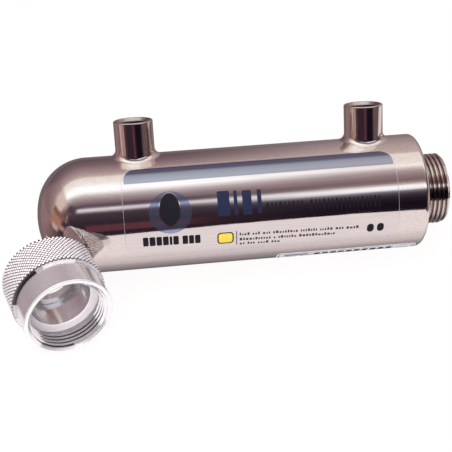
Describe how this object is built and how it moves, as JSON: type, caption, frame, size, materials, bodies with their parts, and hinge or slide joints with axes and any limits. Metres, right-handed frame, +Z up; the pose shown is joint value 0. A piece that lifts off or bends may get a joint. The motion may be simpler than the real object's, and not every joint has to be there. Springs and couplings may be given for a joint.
{
  "type": "uv clarifier",
  "caption": "In-line ultraviolet clarifier: polished stainless chamber with threaded water ports, lamp in a quartz sleeve, and a loose knurled lamp nut.",
  "frame": {"origin": "bottom centre of the whole object as it lies on a surface, the loose nut included", "axes": "+X along the chamber from the dished end to the threaded neck; -Y the labelled front; +Z up from the surface. The water ports lean 20.4 degrees back from +Z."},
  "size_m": [0.1952, 0.0904, 0.0663],
  "materials": {
    "polished_stainless": "polished stainless steel, warm reflections, faint lengthwise polishing lines",
    "clear_film": null,
    "white_film": "white printed film, satin",
    "spring_steel": "bright drawn stainless",
    "quartz": "clear fused quartz",
    "black_rubber": "matte nitrile rubber",
    "lamp_quartz": "clear soft glass",
    "tungsten": "grey drawn wire",
    "white_ceramic": "unglazed white steatite",
    "nickel_pins": "nickel plated",
    "white_insulation": "white heat-resistant sleeving",
    "silicone": "translucent silicone rubber",
    "machined_aluminium": "bright turned aluminium with a diamond knurl"
  },
  "bodies": {
    "chamber": {"chamber_tube": "polished_stainless", "dome_end": "polished_stainless", "end_cap": "polished_stainless", "threaded_neck": "polished_stainless", "inlet_port": "polished_stainless", "outlet_port": "polished_stainless", "front_label": "clear_film", "rating_label": "white_film", "sleeve_cradle": "spring_steel", "sleeve_spring": "spring_steel"},
    "sleeve": {"quartz_sleeve": "quartz", "sleeve_o_ring": "black_rubber"},
    "lamp": {"lamp_glass": "lamp_quartz", "lamp_stems": "lamp_quartz", "lamp_filaments": "tungsten", "lamp_support_wires": "tungsten", "lamp_base": "white_ceramic", "lamp_pins": "nickel_pins", "lamp_end_cap": "white_ceramic", "return_lead": "white_insulation", "lamp_spacer_rings": "silicone"},
    "lamp_nut_body": {"lamp_nut": "machined_aluminium"}
  },
  "joints": [
    {"name": "sleeve_slide", "type": "slide", "parent": "chamber", "child": "sleeve", "axis": [1, 0, 0], "range_m": [0, 0.175]},
    {"name": "lamp_slide", "type": "slide", "parent": "sleeve", "child": "lamp", "axis": [1, 0, 0], "range_m": [0, 0.17]},
    {"name": "nut_lift", "type": "slide", "parent": "chamber", "child": "lamp_nut_body", "axis": [0, -0.5, 0.866], "range_m": [0, 0.09]}
  ]
}
